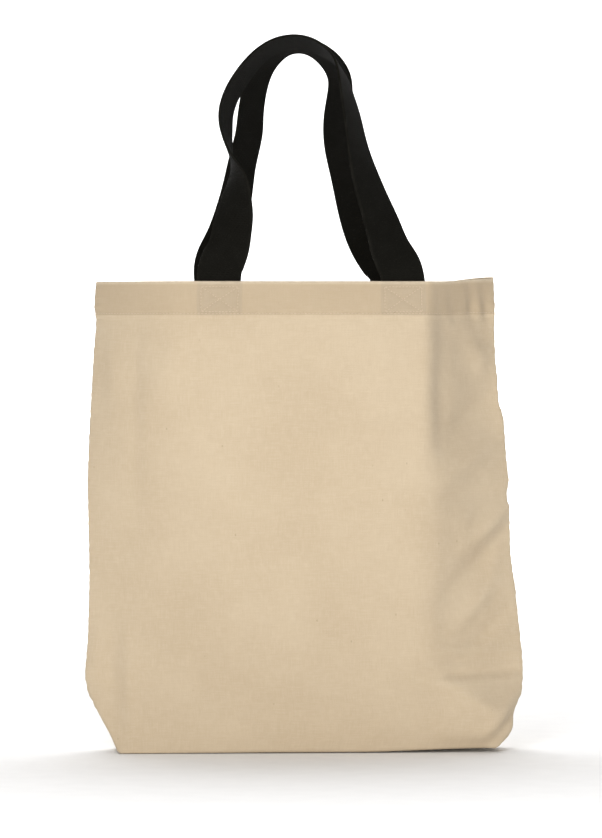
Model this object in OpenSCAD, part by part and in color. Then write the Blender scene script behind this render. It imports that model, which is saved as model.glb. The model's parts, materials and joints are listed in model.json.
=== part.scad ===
// Canvas tote bag with a boxed base, a deep hem and two webbing handles.
// Origin: centre of the base on the ground. +Z up, -Y out of the front panel. Millimetres.

/* [Body] */
// Height from the ground to the mouth
bag_h = 406; // [380:1:440]
// Width across the side seams where the bag is widest
ridge_w = 380; // [360:1:400]
// Width across the side seams at the mouth
mouth_w = 346; // [330:1:356]
// Depth across the hems when the mouth stands open
mouth_d = 112; // [96:1:130]
// Width of the flat base
base_w = 328; // [310:1:340]
// Depth of the flat base
base_d = 56; // [48:1:72]
// Height at which the creases from the base corners reach the side seams
gusset_h = 59; // [45:1:75]
// Thickness of one layer of canvas
cloth_t = 1.2; // [0.8:0.1:1.5]

/* [Hem] */
// Height of the turned-in hem
hem_h = 31; // [31:1:40]
// Height of the stitch row above the hem's lower edge
hem_row_h = 3; // [2:0.5:3.5]

/* [Handles] */
// Width of the webbing
strap_w = 38; // [25:1:40]
// Thickness of the webbing
strap_t = 2.2; // [1.5:0.1:2.5]
// Distance between the two legs of a handle, centre to centre at the mouth
strap_pitch = 162; // [130:1:164]
// Height of a handle above the mouth
loop_h = 215; // [180:1:260]
// Radius of a handle's arch
arch_r = 37; // [34:1:44]
// Length of webbing sewn down inside the hem
strap_end_l = 28; // [20:1:30]
// Inward slope of a leg where it leaves the mouth, in degrees
leg_slope = 21; // [10:1:25]

/* [Seams and thread] */
// Width of a seam allowance
seam_w = 9; // [6:1:12]
// Thickness of a seam allowance, which is two layers
seam_t = 2.2; // [1.6:0.1:2.6]
// Width of a line of thread
thread_w = 0.9; // [0.6:0.1:1.2]
// How far a line of thread stands proud of the canvas
thread_t = 0.4; // [0.3:0.1:0.5]
// Width of a boxed cross of stitches
cross_w = 31; // [18:1:32]
// Height of a boxed cross of stitches
cross_h = 21; // [14:1:21]

/* [Hidden] */

canvas = [0.83, 0.75, 0.64];
hem_canvas = [0.80, 0.72, 0.61];
seam_canvas = [0.76, 0.68, 0.57];
thread = [0.90, 0.85, 0.75];
webbing = [0.11, 0.10, 0.09];

// Gap between layers that lie on each other
gap = 0.2;
// Smallest half width of the folded edge along a side seam
fold_r = 1.5;
// Power of the curve from the middle of a panel to its side seams
crown_power = 1.7;
// Power of the curve of the bag's depth from the base to the mouth
depth_power = 2.2;
// Share of the height over which the middle of the panel turns flat
flat_from = 0.15;
flat_over = 0.72;
// Room beside the handle legs before the panel starts to curve away
flat_margin = 8;

// Smallest slope that the side seams' wedge is worked out with
steep = 0.2;

lower_levels = 6;
upper_levels = 16;
face_steps = 26;

seam_foot = cloth_t + gap;
base_set_in = seam_foot + 0.5;
seam_set_in = seam_foot + 2;
flat_half = (strap_pitch + strap_w) / 2 + flat_margin;
flat_top = flat_half / (mouth_w / 2);
strap_layer = 2 * cloth_t + 2 * gap;
strap_y = mouth_d / 2 - strap_layer - strap_t / 2;

// The handle turns about a line over the two layers of the hem
hinge_rise = 1;
hinge_y = mouth_d / 2 - 0.8;
echo(hinge_y = hinge_y, hinge_z = bag_h + hinge_rise);

// Lower and upper ends of the side seams' allowances
seam_low = seam_foot + seam_t + 1;
seam_high = bag_h - hem_h - 1;

// Middle of the webbing's depth at the top of the arch
arch_y = strap_w / 2 + 1;
arch_top = loop_h - strap_t / 2;
arch_centre = arch_top - arch_r;
leg_reach = arch_centre / 3;
turn_from = arch_centre / 3;
turn_to = arch_centre + arch_r / 2;
foot_h = 25;
leg_steps = 20;
arch_steps = 20;

function ease(t) = t * t * (3 - 2 * t);
function share(v, from, to) = max(0, min(1, (v - from) / (to - from)));
function mix(a, b, t) = a + (b - a) * t;
function unit(v) = v / norm(v);

// The bag's outside at height z: half its width at the side seams, half its depth
// at the folded edge and in the middle, and how much of the panel is flat there.
function half_ridge(z) = z < gusset_h
    ? mix(base_w / 2, ridge_w / 2, z / gusset_h)
    : mix(ridge_w / 2, mouth_w / 2, share(z, gusset_h, bag_h));
function half_fold(z) = max(fold_r, mix(base_d / 2, 0, z / gusset_h));
function depth_share(z) = 1 - pow(1 - share(z, 0, bag_h - hem_h - 6), depth_power);
function half_depth(z) = mix(base_d / 2, mouth_d / 2, depth_share(z));
function flat_share(z) = flat_top * ease(share(z / bag_h, flat_from, flat_from + flat_over));
function crown(s, s0) = s < s0 ? 1 : 1 - pow((s - s0) / (1 - s0), crown_power);

// Slope of the panel where it meets the folded edge
function end_slope(z) =
    (half_depth(z) - half_fold(z)) * crown_power / ((1 - flat_share(z)) * half_ridge(z));

// Half the width of the folded edge on a layer set in from the outside
function inner_fold(z, inset) =
    let (slope = end_slope(z))
    max(gap, half_fold(z) - inset * (sqrt(1 + slope * slope) - slope));

// A point of the front panel at height z and s from -1 to 1 across it, set in by
// a distance from the outside.
function face_point(z, s, inset) =
    let (
        ridge = half_ridge(z) - inset,
        s0 = flat_share(z) * half_ridge(z) / ridge
    )
    [s * ridge, -mix(inner_fold(z, inset), half_depth(z) - inset, crown(abs(s), s0)), z];

function seam_point(z, side, inset) = [side * (half_ridge(z) - inset), -gap / 2, z];

// One level of the front panel, from the left side seam to the right one
function level(z, inset) = concat(
    [seam_point(z, -1, inset)],
    [for (j = [0 : face_steps]) face_point(z, 2 * j / face_steps - 1, inset)],
    [seam_point(z, 1, inset)]
);

panel_levels = concat(
    [for (i = [0 : lower_levels - 1]) gusset_h * i / lower_levels],
    [for (i = [0 : upper_levels]) mix(gusset_h, bag_h, i / upper_levels)]
);
hem_levels = [bag_h - hem_h, bag_h - hem_h / 2, bag_h];

// Closes two grids of points, an outer and an inner one, into a solid sheet
module sheet_solid(outer, inner) {
    cols = len(outer[0]);
    top = len(outer) - 1;
    end = cols - 1;
    skin = cols * len(outer);
    points = concat([for (row = outer) each row], [for (row = inner) each row]);
    quads = concat(
        [for (i = [0 : top - 1], j = [0 : end - 1])
            [i * cols + j, (i + 1) * cols + j, (i + 1) * cols + j + 1, i * cols + j + 1]],
        [for (i = [0 : top - 1], j = [0 : end - 1])
            [skin + i * cols + j, skin + i * cols + j + 1,
             skin + (i + 1) * cols + j + 1, skin + (i + 1) * cols + j]],
        [for (j = [0 : end - 1]) [j, j + 1, skin + j + 1, skin + j]],
        [for (j = [0 : end - 1], low = top * cols + j)
            [low + 1, low, skin + low, skin + low + 1]],
        [for (i = [0 : top - 1], low = i * cols)
            [low + cols, low, skin + low, skin + low + cols]],
        [for (i = [0 : top - 1], low = i * cols + end)
            [low, low + cols, skin + low + cols, skin + low]]
    );
    polyhedron(points, [for (q = quads) each [[q[0], q[1], q[2]], [q[0], q[2], q[3]]]]);
}

// Joins rings of four points, each seen from the same end, into a closed bar
module bar_solid(rings) {
    last = len(rings) - 1;
    quads = concat(
        [for (i = [0 : last - 1], k = [0 : 3])
            [4 * i + k, 4 * i + (k + 1) % 4, 4 * i + 4 + (k + 1) % 4, 4 * i + 4 + k]],
        [[3, 2, 1, 0], [4 * last, 4 * last + 1, 4 * last + 2, 4 * last + 3]]
    );
    polyhedron(
        [for (ring = rings) each ring],
        [for (q = quads) each [[q[2], q[1], q[0]], [q[3], q[2], q[0]]]]
    );
}

module behind() {
    mirror([0, 1, 0]) children();
}

module to_left() {
    mirror([1, 0, 0]) children();
}

// Front wall; its lowest edge meets the base
module front_panel() {
    color(canvas)
        sheet_solid(
            [for (z = panel_levels) level(z, 0)],
            [for (z = panel_levels) level(z, cloth_t)]
        );
}

module back_panel() {
    behind() front_panel();
}

// Flat floor between the walls
module base_panel() {
    size = [base_w - 2 * base_set_in, base_d - 2 * base_set_in, cloth_t];
    color(canvas)
        translate([-size[0] / 2, -size[1] / 2, 0])
            cube(size);
}

// The turned-in layer of the hem
module front_hem() {
    outside = cloth_t + gap;
    color(hem_canvas)
        sheet_solid(
            [for (z = hem_levels) level(z, outside)],
            [for (z = hem_levels) level(z, outside + cloth_t)]
        );
}

module back_hem() {
    behind() front_hem();
}

// Where the wedge between the two panels is wide enough for a bar of this width
function wedge_x(z, width) =
    half_ridge(z) - seam_foot
    - max(0, width / 2 + gap - inner_fold(z, cloth_t)) / max(steep, end_slope(z));

// An upright bar along the right side seam, from one height to another
module side_bar(from, to, start, reach, width) {
    steps = 14;
    bar_solid([
        for (i = [0 : steps], z = mix(from, to, i / steps), x = wedge_x(z, seam_t) - start)
            [[x, -width / 2, z], [x, width / 2, z],
             [x - reach, width / 2, z], [x - reach, -width / 2, z]]
    ]);
}

// Seam allowance inside the ridge
module right_side_seam() {
    color(seam_canvas) side_bar(seam_low, seam_high, 0, seam_w, seam_t);
}

module left_side_seam() {
    to_left() right_side_seam();
}

// Thread over the raw edges of the side seam
module right_side_overlock() {
    overlock_reach = 1.2;
    overlock_over = 0.8;
    color(thread)
        side_bar(seam_low, seam_high, seam_w + gap / 2, overlock_reach, seam_t + overlock_over);
}

module left_side_overlock() {
    to_left() right_side_overlock();
}

// Seam allowances lying on the base, along its edges
module front_base_seam() {
    length = base_w - 2 * seam_set_in;
    color(seam_canvas)
        translate([-length / 2, -base_d / 2 + seam_set_in, seam_foot])
            cube([length, seam_w, seam_t]);
}

module back_base_seam() {
    behind() front_base_seam();
}

module right_base_end_seam() {
    length = base_d - 2 * (seam_set_in + seam_w + gap);
    color(seam_canvas)
        translate([base_w / 2 - seam_set_in - seam_w, -length / 2, seam_foot])
            cube([seam_w, length, seam_t]);
}

module left_base_end_seam() {
    to_left() right_base_end_seam();
}

// A line of thread around the front of the bag, near the hem's lower edge
module front_hem_stitching() {
    low = bag_h - hem_h + hem_row_h;
    levels = [low, low + thread_w];
    color(thread)
        sheet_solid(
            [for (z = levels) level(z, -thread_t)],
            [for (z = levels) level(z, -gap / 4)]
        );
}

module back_hem_stitching() {
    behind() front_hem_stitching();
}

// The sewn end of a handle leg, flat against the inside of the hem
module front_right_handle_end() {
    color(webbing)
        translate([(strap_pitch - strap_w) / 2, -strap_y - strap_t / 2, bag_h - gap - strap_end_l])
            cube([strap_w, strap_t, strap_end_l]);
}

module front_left_handle_end() {
    to_left() front_right_handle_end();
}

module back_right_handle_end() {
    behind() front_right_handle_end();
}

module back_left_handle_end() {
    behind() front_left_handle_end();
}

// A rectangle of stitches with a cross in it, on the outside of the hem
module front_right_cross_stitch() {
    centre_z = bag_h - 5 - cross_h / 2;
    diagonal = norm([cross_w, cross_h]) - thread_w;
    color(thread)
        translate([strap_pitch / 2, -mouth_d / 2 - gap / 4, centre_z])
            rotate([90, 0, 0])
                linear_extrude(thread_t - gap / 4)
                    union() {
                        difference() {
                            square([cross_w, cross_h], center = true);
                            square([cross_w - 2 * thread_w, cross_h - 2 * thread_w], center = true);
                        }
                        for (side = [-1, 1])
                            rotate(side * atan(cross_h / cross_w))
                                square([diagonal, thread_w], center = true);
                    }
}

module front_left_cross_stitch() {
    to_left() front_right_cross_stitch();
}

module back_right_cross_stitch() {
    behind() front_right_cross_stitch();
}

module back_left_cross_stitch() {
    behind() front_left_cross_stitch();
}

// The middle line of the right leg, from the mouth (t = 0) to the arch (t = 1)
leg_foot = [strap_pitch / 2, 0];
leg_top = [arch_r, arch_centre];
leg_out = leg_foot + leg_reach * [-sin(leg_slope), cos(leg_slope)];
leg_in = leg_top - [0, leg_reach];
function leg_line(t) =
    pow(1 - t, 3) * leg_foot + 3 * t * pow(1 - t, 2) * leg_out
    + 3 * t * t * (1 - t) * leg_in + pow(t, 3) * leg_top;
function arch_line(a) = [arch_r * cos(a), arch_centre + arch_r * sin(a)];

// Half of the loop's middle line in its own plane, then the other half mirrored
half_loop = concat(
    [for (i = [0 : leg_steps - 1]) leg_line(i / leg_steps)],
    [for (i = [0 : arch_steps / 2]) arch_line(180 * i / arch_steps)]
);
half_count = len(half_loop);
loop_line = concat(
    half_loop,
    [for (i = [2 : half_count]) [-half_loop[half_count - i][0], half_loop[half_count - i][1]]]
);

// Heading of the middle line at station i
function heading(i) =
    unit(loop_line[min(i + 1, len(loop_line) - 1)] - loop_line[max(i - 1, 0)]);

// The webbing lies flat to the panel at its feet and turns on edge towards the arch
function turn(h) = 90 * ease(share(h, turn_from, turn_to));

// Four corners of the webbing at station i
function strap_ring(i) =
    let (
        h = loop_line[i][1],
        centre = [loop_line[i][0], -mix(strap_y, arch_y, h / arch_top), bag_h + hinge_rise + h],
        along = heading(i),
        inward = [-along[1], 0, along[0]],
        level_in = [sign(inward[0] == 0 ? 1 : inward[0]), 0, 0],
        flat = h < foot_h ? unit(mix(level_in, inward, ease(h / foot_h))) : inward,
        across = cos(turn(h)) * flat - sin(turn(h)) * [0, 1, 0],
        out = unit(cross([along[0], 0, along[1]], across)),
        w = across * strap_w / 2,
        t = out * strap_t / 2
    )
    [centre + w + t, centre - w + t, centre - w - t, centre + w - t];

// The free loop of a handle
module front_handle() {
    color(webbing)
        bar_solid([for (i = [0 : len(loop_line) - 1]) strap_ring(i)]);
}

module back_handle() {
    behind() front_handle();
}

front_panel();
back_panel();
base_panel();
front_hem();
back_hem();
left_side_seam();
right_side_seam();
front_base_seam();
back_base_seam();
left_base_end_seam();
right_base_end_seam();
left_side_overlock();
right_side_overlock();
front_hem_stitching();
back_hem_stitching();
front_left_handle_end();
front_right_handle_end();
back_left_handle_end();
back_right_handle_end();
front_left_cross_stitch();
front_right_cross_stitch();
back_left_cross_stitch();
back_right_cross_stitch();
front_handle();
back_handle();
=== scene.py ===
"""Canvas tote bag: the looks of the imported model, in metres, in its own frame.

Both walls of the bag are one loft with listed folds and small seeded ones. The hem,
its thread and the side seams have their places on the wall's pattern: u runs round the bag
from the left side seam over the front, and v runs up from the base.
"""

import json
import math

import bpy
import numpy as np
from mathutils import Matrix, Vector


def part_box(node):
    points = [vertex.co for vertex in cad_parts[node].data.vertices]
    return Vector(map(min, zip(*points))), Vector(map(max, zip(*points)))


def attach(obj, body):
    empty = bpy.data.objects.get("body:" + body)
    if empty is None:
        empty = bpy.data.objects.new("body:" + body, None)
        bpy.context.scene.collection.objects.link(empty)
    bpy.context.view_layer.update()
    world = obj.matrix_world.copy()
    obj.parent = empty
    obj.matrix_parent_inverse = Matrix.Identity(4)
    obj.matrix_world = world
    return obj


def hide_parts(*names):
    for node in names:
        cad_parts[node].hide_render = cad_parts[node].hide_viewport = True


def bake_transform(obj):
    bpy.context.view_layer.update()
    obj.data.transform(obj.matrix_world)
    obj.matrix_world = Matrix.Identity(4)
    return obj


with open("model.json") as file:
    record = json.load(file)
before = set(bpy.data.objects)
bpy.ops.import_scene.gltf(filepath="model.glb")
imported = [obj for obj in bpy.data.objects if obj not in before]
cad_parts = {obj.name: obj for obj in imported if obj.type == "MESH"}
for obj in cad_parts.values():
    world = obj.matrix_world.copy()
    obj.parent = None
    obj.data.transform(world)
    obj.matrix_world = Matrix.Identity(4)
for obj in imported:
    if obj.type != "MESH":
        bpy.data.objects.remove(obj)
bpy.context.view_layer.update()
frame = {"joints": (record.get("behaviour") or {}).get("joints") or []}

# ---------------- sizes
MM = 0.001
PANEL_LOW, PANEL_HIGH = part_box("front_panel")
BASE_LOW, BASE_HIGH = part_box("base_panel")
HEM_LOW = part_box("front_hem")[0]
END_LOW, END_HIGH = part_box("front_right_handle_end")
ROW_LOW, ROW_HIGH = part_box("front_hem_stitching")
CROSS_LOW, CROSS_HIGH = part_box("front_right_cross_stitch")
SEAM_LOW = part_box("right_side_seam")[0]
BASE_SEAM_LOW, BASE_SEAM_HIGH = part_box("front_base_seam")

BAG_H = PANEL_HIGH.z
CLOTH_T = BASE_HIGH.z - BASE_LOW.z
GAP = 0.2 * MM
BASE_INSET = 1.9 * MM
BASE_X = BASE_HIGH.x + BASE_INSET
BASE_Y = BASE_HIGH.y + BASE_INSET
MOUTH_Y = -PANEL_LOW.y
HEM_H = BAG_H - HEM_LOW.z
ROW_V = (ROW_LOW.z + ROW_HIGH.z) / 2
STRAP_Y = -(END_LOW.y + END_HIGH.y) / 2
STRAP_W = END_HIGH.x - END_LOW.x
STRAP_T = END_HIGH.y - END_LOW.y
CROSS_W = CROSS_HIGH.x - CROSS_LOW.x
CROSS_H = CROSS_HIGH.z - CROSS_LOW.z
CROSS_Z = (CROSS_LOW.z + CROSS_HIGH.z) / 2
SEAM_W = BASE_SEAM_HIGH.y - BASE_SEAM_LOW.y
HINGE_Z = frame["joints"][0]["pos_m"][2]

# Where the legs of a handle meet the mouth, to the left and right of the middle
LEFT_LEG_X = -75 * MM
RIGHT_LEG_X = 82 * MM

PANEL_W = 2 * (BASE_X + BASE_Y)
GIRTH = 2 * PANEL_W
GRID_COLS = 160
GRID_ROWS = 168

# Where the camera stands and what it looks at
CAMERA_AZIMUTH = math.radians(-2.5)
CAMERA_AWAY = 3.6
CAMERA_Z = 0.36
LOOK_AT = Vector((-0.003, 0.0, 0.2872))
LENS = 178.5

random = np.random.default_rng(7)
PUCKER_SEEDS = random.random((5, 3))


# ---------------- small maths
def mix(a, b, t):
    return a + (b - a) * t


def share(v, start, end):
    return np.clip((v - start) / (end - start), 0, 1)


def ease(t):
    return t * t * (3 - 2 * t)


def bump(distance, width):
    return np.exp(-(distance / width) ** 2)


def through(places, values, at):
    """Points at some places along a smooth curve through a few given ones."""
    step = np.diff(places)
    slope = np.diff(values, axis=0) / step[:, None]
    count = len(places)
    rows = np.zeros((count, count))
    right = np.zeros_like(values)
    rows[0, 0] = rows[-1, -1] = 1
    for k in range(1, count - 1):
        rows[k, k - 1:k + 2] = step[k - 1], 2 * (step[k - 1] + step[k]), step[k]
        right[k] = 6 * (slope[k] - slope[k - 1])
    second = np.linalg.solve(rows, right)
    i = np.clip(np.searchsorted(places, at) - 1, 0, count - 2)
    a, b, h = (row[:, None] for row in (at - places[i], places[i + 1] - at, step[i]))
    return (
        (second[i] * b ** 3 + second[i + 1] * a ** 3) / (6 * h)
        + (values[i] / h - second[i] * h / 6) * b
        + (values[i + 1] / h - second[i + 1] * h / 6) * a
    )


def unit(v):
    return v / np.maximum(np.linalg.norm(v, axis=-1, keepdims=True), 1e-12)


def along(points):
    """Length from the first point to each point of a line."""
    steps = np.linalg.norm(np.diff(points, axis=0), axis=1)
    return np.concatenate([[0], np.cumsum(steps)])


def rows_at(at, place, rows):
    """Rows of numbers at some places, on straight lines between the given ones."""
    return np.stack([np.interp(at, place, column) for column in rows.T], axis=1)


def evenly(points, count):
    """A line again, as count points at equal steps along it."""
    place = along(points)
    return rows_at(np.linspace(0, place[-1], count), place, points)


# ---------------- shape of the wall
# Heights and, there, how far the side seams stand from the middle
LEFT_SIDE = [(0, 161), (52, 188.5), (66, 191), (95, 188.5), (150, 187), (235, 188.5), (290, 186),
             (350, 182.5), (370, 180.5), (386, 182), (406, 180.5)]
RIGHT_SIDE = [(0, 165), (5, 170), (16, 178), (46, 187), (60, 190), (70, 191), (130, 185), (165, 180.5),
              (200, 179.5), (222, 176), (232, 179), (262, 175.5), (288, 173.5), (302, 170), (356, 166.5),
              (406, 165)]
SIDE_BLUR = 4 * MM
# Steps over which an edge or a crease is blurred, as shares of the blur
SPREAD = np.linspace(-1, 1, 9)[:, None]
# How far the mouth is turned about the upright, seen at the side seams
LEFT_TURN = -9 * MM
RIGHT_TURN = 9 * MM
CREASE_Z = 59 * MM
FOLD_R = 1.5 * MM
CROWN_POWER = 1.7
# Share of the height at which the panels start to turn with the mouth
TWIST_FROM = 0.1
SECTION_POINTS = 400
# The front's upright crease under the right handle, and how sharply the cloth turns there:
# at some heights its place, its share of the turn, and the width over which it is blurred
CREASE_X = 104 * MM
CREASE_POWER = 1.65
CREASE_HEIGHTS = [0, 34, 66, 80, 110, 200, 250, 290, 375, 406]
CREASE_PLACE = [148, 160, 118, 104, 104, 104, 104, 104, 104, 104]
CREASE_SHARE = [0, 0.05, 0.5, 0.8, 0.8, 0.55, 0.8, 1, 0.9, 0.6]
CREASE_BLUR = [16, 16, 18, 20, 24, 34, 26, 16, 14, 14]
DEPTH_POWER = 2.2
FLAT_FROM, FLAT_TO = 0.15, 0.87
FLAT_ROOM = STRAP_W / 2 + 6 * MM

# Soft folds listed one by one: ends (x, z), half width and height, in millimetres
FRONT_FOLDS = [
    (117, 378, 115, 262, 7, -2.4), (140, 366, 156, 326, 9, 2.6), (164, 372, 170, 338, 5, -1.4),
    (175, 316, 116, 272, 9, -3.0), (172, 268, 108, 232, 11, 4.6),
    (180, 214, 142, 180, 7, 4.8), (182, 196, 116, 130, 10, -4.6),
    (164, 146, 126, 104, 7, 3.8), (172, 118, 138, 84, 6, -2.2), (188, 104, 150, 92, 6, 3.0),
    (100, 88, 188, 86, 6.5, 4.0), (96, 68, 191, 69, 4, -4.6),
    (108, 22, 176, 17, 16, 5.0), (148, 8, 188, 54, 5, 3.0), (160, 4, 190, 44, 5, -2.2),
    (-166, 372, -166, 286, 8, 1.5), (-146, 376, -147, 190, 7, -1.3),
    (-153, 108, -151, 5, 5, 2.2), (-168, 96, -166, 16, 7, -2.2), (-178, 110, -184, 60, 5, 1.2),
    (-96, 384, -140, 282, 13, 1.3), (-72, 372, -64, 200, 20, 1.2),
    (4, 372, 6, 190, 34, -1.4), (70, 372, 62, 210, 18, 1.2),
    (-30, 300, 44, 262, 26, 1.0), (-40, 150, 60, 118, 26, 1.0), (-120, 60, 20, 44, 18, -1.0),
    (-150, 250, -60, 216, 18, 0.9), (20, 330, 60, 306, 9, 0.8), (-10, 350, 26, 318, 8, -0.7),
]
BACK_FOLDS = [
    (-98, 380, -172, 270, 12, 2.2), (-104, 330, -176, 200, 13, -2.0),
    (100, 380, 160, 250, 12, 1.8), (60, 340, 120, 160, 18, -1.5),
    (-20, 370, -30, 150, 30, -1.8), (70, 370, 60, 190, 22, 1.6),
    (-120, 66, -186, 64, 7, 2.2), (110, 62, 186, 60, 7, 2.2),
    (-60, 90, 80, 60, 22, 1.4), (-20, 200, 90, 130, 24, -1.4),
]
# Folds strewn over each panel: how many, and the least and most of their x, z, lean in
# radians, length, half width and height, in millimetres
SMALL_FOLDS = 120, (-180, 15, -0.3, 20, 8, -1), (180, 372, 1.9, 70, 19, 1)
CRUMPLES = 60, (118, 20, 0.1, 10, 4, -0.9), (188, 380, 1.3, 34, 8, 0.9)
# Height of the strewn folds on the left of a panel and on its right, as a share
CALM_LEFT, LIVELY_RIGHT = 0.45, 1.2
# What is left of a fold's height at its ends
FOLD_END = 0.12
# How far the rim's right end stands up in front and at the back
RIM_RISE = 2.5 * MM, 4.5 * MM


def side_x(table, z):
    """Half width to one side at heights z: straight lines with their corners rounded off."""
    heights, xs = np.array(table, float).T * MM
    near = np.clip(np.asarray(z)[None] + SPREAD * SIDE_BLUR, -np.asarray(z)[None], None)
    return np.interp(np.abs(near), heights, xs).mean(axis=0)


def strewn(count, low, high, left=1.0, right=1.0):
    """Short folds strewn over a panel, with their heights scaled from left to right."""
    made = []
    for _ in range(count):
        x, z, lean, length, width, rise = random.uniform(low, high)
        reach = np.array([math.cos(lean), math.sin(lean)]) * length / 2
        rise *= mix(left, right, ease(share(x, 70, 150)))
        made.append((*((x, z) - reach), *((x, z) + reach), width, rise))
    return made


def crown(s, flat, power):
    """A panel's depth as a share: full over its flat part, and 0 at its side seam."""
    return 1 - share(s, flat, 1) ** power


def section(z, back):
    """The outside of one panel at a height, from the left side seam to the right one."""
    left, right = -side_x(LEFT_SIDE, [z])[0], side_x(RIGHT_SIDE, [z])[0]
    middle, half = (left + right) / 2, (right - left) / 2
    fold = max(FOLD_R, mix(BASE_Y, 0, z / CREASE_Z))
    depth = mix(BASE_Y, MOUTH_Y, 1 - (1 - share(z, 0, BAG_H - HEM_H)) ** DEPTH_POWER)
    flatness = ease(share(z / BAG_H, FLAT_FROM, FLAT_TO))
    twist = ease(share(z / BAG_H, TWIST_FROM, 1))
    s = np.sin(np.linspace(-math.pi / 2, math.pi / 2, SECTION_POINTS))
    left_flat = (middle - LEFT_LEG_X + FLAT_ROOM) / half * flatness
    crease_x = np.interp(z / MM, CREASE_HEIGHTS, CREASE_PLACE) * MM
    right_flat = (CREASE_X - middle) / half * flatness if back else (crease_x - middle) / half
    flat = np.where(s < 0, left_flat, right_flat)
    rise = crown(np.abs(s), flat, CROWN_POWER)
    if not back:
        sharp = np.interp(z / MM, CREASE_HEIGHTS, CREASE_SHARE)
        blur = np.interp(z / MM, CREASE_HEIGHTS, CREASE_BLUR) * MM
        spread = SPREAD * blur / half * (1 - np.abs(s))
        past = np.clip((s + spread - right_flat) / (1 - right_flat), 0, 1)
        creased_rise = mix(1 - past ** CROWN_POWER, (1 - past) ** CREASE_POWER, sharp)
        rise = np.where(s < 0, rise, creased_rise.mean(axis=0))
    seam_y = mix(LEFT_TURN, RIGHT_TURN, (s + 1) / 2) * twist
    y = seam_y * (1 - rise) + (1 if back else -1) * mix(fold, depth, rise)
    points = np.stack([middle + s * half, y, np.full_like(s, z)], axis=1)
    ends = np.array([[left, LEFT_TURN * twist, z], [right, RIGHT_TURN * twist, z]])
    return np.concatenate([ends[:1], points, ends[1:]])


def fold_height(x, z, folds):
    """Height of the soft folds at places on a panel."""
    height = np.zeros_like(x)
    for fold in folds:
        a, b, (width, rise) = np.reshape(fold, (3, 2)) * MM
        reach = b - a
        t = ((x - a[0]) * reach[0] + (z - a[1]) * reach[1]) / (reach @ reach)
        t = np.clip(t, 0, 1)
        away = np.hypot(x - a[0] - t * reach[0], z - a[1] - t * reach[1])
        height += rise * bump(away, width) * np.sin(np.pi * mix(FOLD_END, 1 - FOLD_END, t))
    return height


def loft():
    """The plain wall: rows from the base to the mouth, columns round the bag."""
    rows = []
    for z in np.linspace(0, BAG_H, GRID_ROWS + 1):
        front = evenly(section(z, False), GRID_COLS + 1)
        back = evenly(section(z, True), GRID_COLS + 1)[::-1]
        rows.append(np.concatenate([front[:-1], back[:-1]]))
    return np.array(rows)


def creased(grid):
    """The wall with its folds, and with the right end of its rim a little raised."""
    grid = grid.copy()
    outward = normals(grid)
    for side, folds, rise in zip((0, GRID_COLS), (FRONT_FOLDS, BACK_FOLDS), RIM_RISE):
        folds = folds + strewn(*SMALL_FOLDS, CALM_LEFT, LIVELY_RIGHT) + strewn(*CRUMPLES)
        part = slice(side, side + GRID_COLS)
        x, z = grid[:, part, 0], grid[:, part, 2]
        fade = ease(share(z, 0, 12 * MM)) * ease(share(BAG_H - z, 14 * MM, 44 * MM))
        lift = rise * ease(share(x, 112 * MM, 164 * MM)) * ease(share(z, BAG_H - 50 * MM, BAG_H))
        grid[:, part] += (fold_height(x, z, folds) * fade)[..., None] * outward[:, part]
        grid[:, part, 2] += lift
    return grid


def normals(grid):
    """Outward normals of a grid that closes on itself round the bag."""
    way_round = np.roll(grid, -1, axis=1) - np.roll(grid, 1, axis=1)
    return unit(np.cross(way_round, np.gradient(grid, axis=0)))


# ---------------- mesh building
def grid_faces(rows, cols, closed=False, first=0):
    """Quads of a grid of points; where it is closed, its columns make a ring."""
    i, j = np.meshgrid(np.arange(rows - 1), np.arange(cols if closed else cols - 1), indexing="ij")
    k = (j + 1) % cols
    quads = np.stack([i * cols + j, i * cols + k, (i + 1) * cols + k, (i + 1) * cols + j], axis=-1)
    return quads.reshape(-1, 4) + first


def piece(name, points, faces, uvs, material, nodes, body="bag"):
    """Makes a piece of the object from points, faces and a place on the pattern per point."""
    mesh = bpy.data.meshes.new(name)
    mesh.from_pydata(np.asarray(points).tolist(), [], [list(map(int, f)) for f in faces])
    layer = mesh.uv_layers.new(name="pattern")
    corner = np.zeros(len(mesh.loops), np.int32)
    mesh.loops.foreach_get("vertex_index", corner)
    layer.data.foreach_set("uv", np.asarray(uvs, np.float32)[corner].ravel())
    mesh.validate()
    mesh.shade_smooth()
    mesh.set_sharp_from_angle(angle=math.radians(60))
    mesh.materials.append(material)
    made = bpy.data.objects.new(name, mesh)
    bpy.context.scene.collection.objects.link(made)
    if body:
        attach(made, body)
    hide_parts(*nodes)
    return made


def tube_faces(rows, cols, first=0):
    """Faces of rings of points along a path, with both ends shut."""
    ends = [range(cols)[::-1], range((rows - 1) * cols, rows * cols)]
    shut = [[first + k for k in end] for end in ends]
    return grid_faces(rows, cols, True, first).tolist() + shut


def both_sides(u, v):
    """Places on the pattern for the two grids of points of a sheet of cloth."""
    return np.tile(np.stack(np.broadcast_arrays(u, v), axis=-1).reshape(-1, 2), (2, 1))


def sheet_mesh(outer, inner):
    """Closes two grids of points, an outer and an inner one, into a sheet of cloth."""
    rows, cols = outer.shape[:2]
    skin = rows * cols
    points = np.concatenate([outer.reshape(-1, 3), inner.reshape(-1, 3)])
    faces = [grid_faces(rows, cols), grid_faces(rows, cols, first=skin)[:, ::-1]]
    j = np.arange(cols - 1)
    i = np.arange(rows - 1) * cols
    low, high = j, (rows - 1) * cols + j
    left, right = i, i + cols - 1
    faces += [
        np.stack([low + 1, low, low + skin, low + skin + 1], axis=1),
        np.stack([high, high + 1, high + skin + 1, high + skin], axis=1),
        np.stack([left, left + cols, left + cols + skin, left + skin], axis=1),
        np.stack([right + cols, right, right + skin, right + cols + skin], axis=1),
    ]
    return points, np.concatenate(faces)


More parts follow.
